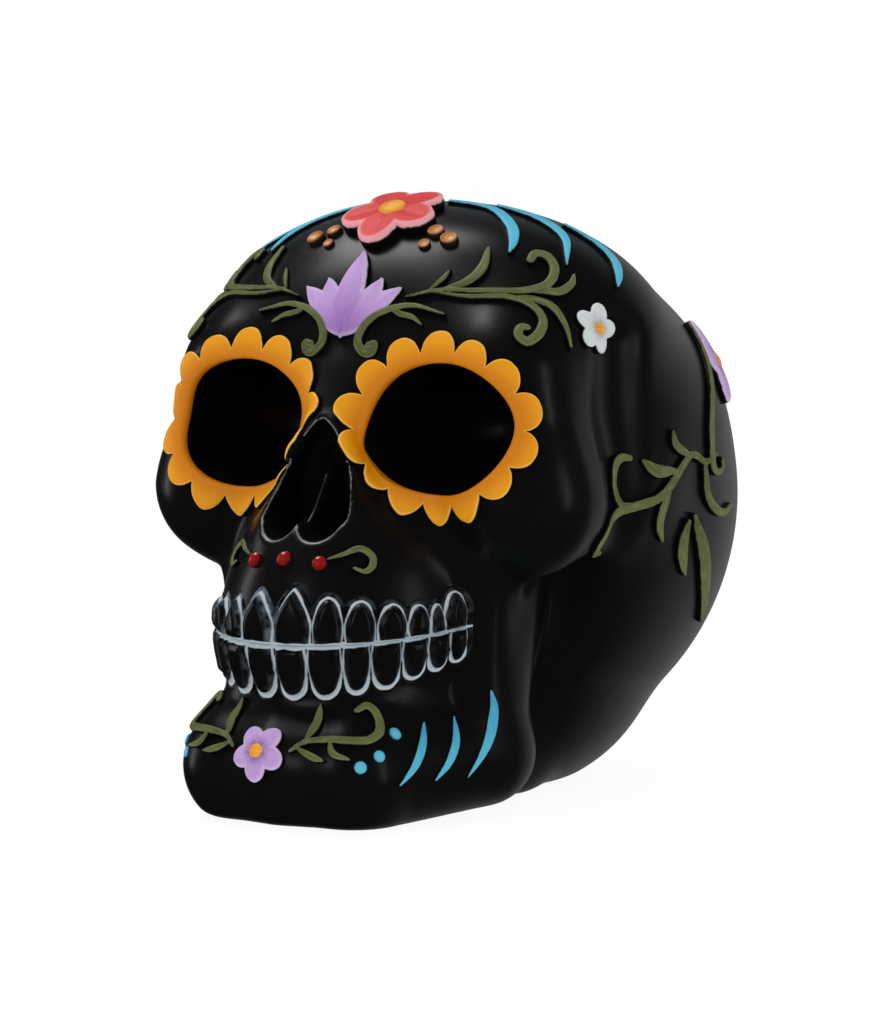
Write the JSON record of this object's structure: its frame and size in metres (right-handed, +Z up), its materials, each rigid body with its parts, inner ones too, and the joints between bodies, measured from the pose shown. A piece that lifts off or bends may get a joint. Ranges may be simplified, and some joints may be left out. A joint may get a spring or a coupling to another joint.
{
  "type": "sugar skull ornament",
  "caption": "Black cast-resin skull ornament that stands on its flat base, with open eye sockets and nose, bared teeth and painted relief petals, flowers, vines, beads and strokes.",
  "frame": {"origin": "on the flat base, in the middle of the width, 86 mm behind the foremost point of the chin", "axes": "+Z up, the face looks along -Y, and the skull's left side is +X"},
  "size_m": [0.1282, 0.1759, 0.1489],
  "materials": {
    "black_resin": "satin black lacquer on cast resin",
    "marigold_paint": "hand-brushed satin paint",
    "lavender_paint": "hand-brushed satin paint",
    "olive_paint": "hand-brushed satin paint",
    "coral_paint": "hand-brushed satin paint",
    "ochre_paint": "hand-brushed satin paint",
    "amber_paint": "hand-brushed satin paint",
    "turquoise_paint": "hand-brushed satin paint",
    "red_gloss_paint": "gloss red paint",
    "white_paint": "hand-brushed satin paint"
  },
  "bodies": {
    "root": {"cranium": "black_resin", "lower_jaw": "black_resin", "upper_teeth": "black_resin", "lower_teeth": "black_resin", "left_eye_petals": "marigold_paint", "right_eye_petals": "marigold_paint", "forehead_lotus": "lavender_paint", "left_side_flower": "lavender_paint", "right_side_flower": "lavender_paint", "chin_flower": "lavender_paint", "left_lotus_scroll": "olive_paint", "right_lotus_scroll": "olive_paint", "left_brow_scroll": "olive_paint", "right_brow_scroll": "olive_paint", "left_side_vine": "olive_paint", "right_side_vine": "olive_paint", "left_side_leaf_long": "olive_paint", "right_side_leaf_long": "olive_paint", "left_side_leaf_short": "olive_paint", "right_side_leaf_short": "olive_paint", "left_lip_curl": "olive_paint", "right_lip_curl": "olive_paint", "left_chin_vine": "olive_paint", "right_chin_vine": "olive_paint", "crown_blossom": "coral_paint", "crown_blossom_centre": "ochre_paint", "left_temple_daisy_centre": "ochre_paint", "right_temple_daisy_centre": "ochre_paint", "left_side_flower_centre": "ochre_paint", "right_side_flower_centre": "ochre_paint", "chin_flower_centre": "ochre_paint", "left_amber_bead_1": "amber_paint", "right_amber_bead_1": "amber_paint", "left_crown_stroke_1": "turquoise_paint", "right_crown_stroke_1": "turquoise_paint", "left_jaw_dot_1": "turquoise_paint", "right_jaw_dot_1": "turquoise_paint", "left_jaw_stroke_1": "turquoise_paint", "right_jaw_stroke_1": "turquoise_paint", "lip_bead_1": "red_gloss_paint", "left_amber_bead_2": "amber_paint", "right_amber_bead_2": "amber_paint", "left_crown_stroke_2": "turquoise_paint", "right_crown_stroke_2": "turquoise_paint", "left_jaw_dot_2": "turquoise_paint", "right_jaw_dot_2": "turquoise_paint", "left_jaw_stroke_2": "turquoise_paint", "right_jaw_stroke_2": "turquoise_paint", "lip_bead_2": "red_gloss_paint", "left_amber_bead_3": "amber_paint", "right_amber_bead_3": "amber_paint", "left_crown_stroke_3": "turquoise_paint", "right_crown_stroke_3": "turquoise_paint", "left_jaw_dot_3": "turquoise_paint", "right_jaw_dot_3": "turquoise_paint", "left_jaw_stroke_3": "turquoise_paint", "right_jaw_stroke_3": "turquoise_paint", "lip_bead_3": "red_gloss_paint", "left_temple_daisy": "white_paint", "right_temple_daisy": "white_paint"}
  },
  "joints": []
}
